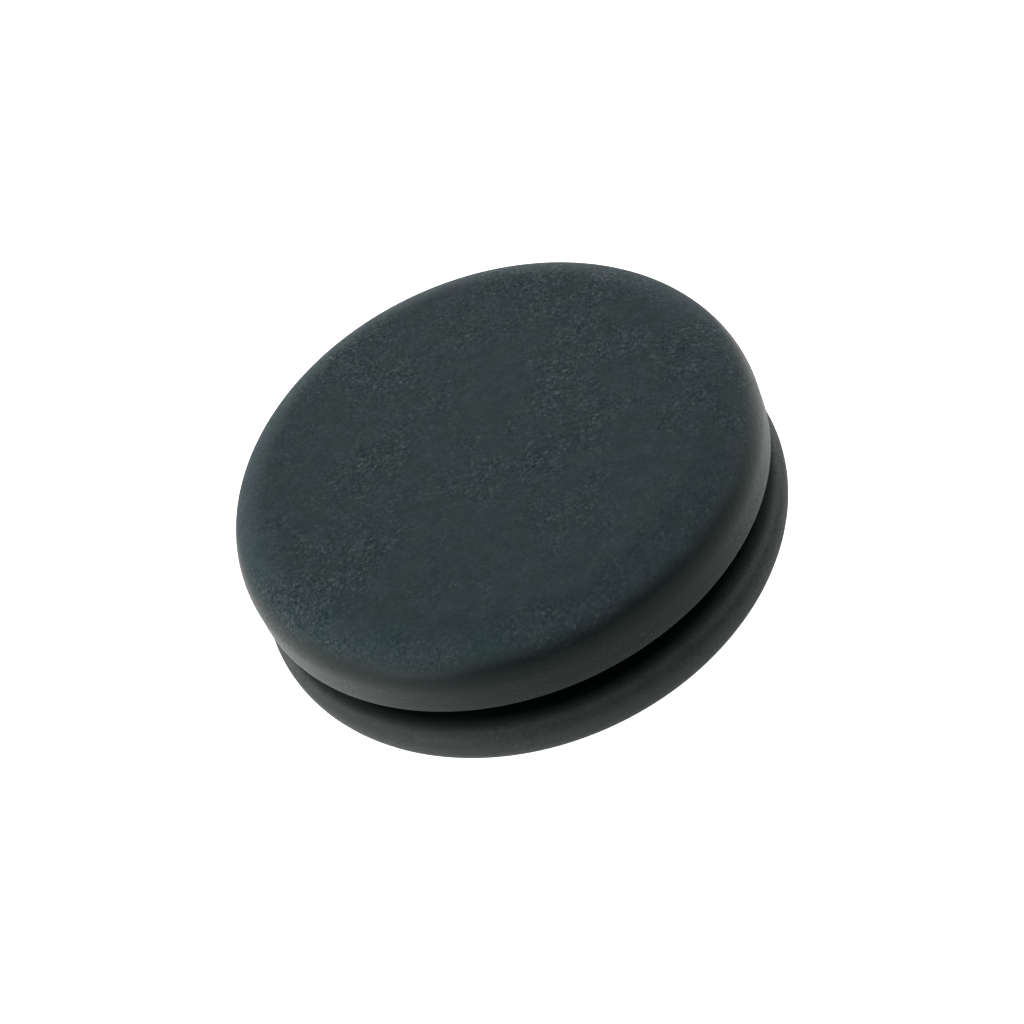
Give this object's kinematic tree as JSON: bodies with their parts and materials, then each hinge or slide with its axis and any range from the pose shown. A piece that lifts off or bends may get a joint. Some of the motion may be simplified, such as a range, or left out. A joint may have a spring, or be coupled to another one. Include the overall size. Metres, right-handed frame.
{
  "type": "rubber grommet",
  "caption": "Closed round rubber grommet: flat cap with a soft shoulder, panel groove, rounded flange and a blind recess underneath, to blank off a round hole in a panel.",
  "frame": {"origin": "centre of the flange's flat ring, on the axis, at the surface that the grommet rests on", "axes": "+Z along the axis, from the flange towards the cap's flat face; X and Y lie in the panel's plane, in any direction, because the part is round"},
  "size_m": [0.0252, 0.0252, 0.0081],
  "materials": {
    "rubber": "matt moulded rubber, blue-grey black, with a very fine grain"
  },
  "bodies": {
    "root": {"grommet": "rubber"}
  },
  "joints": []
}
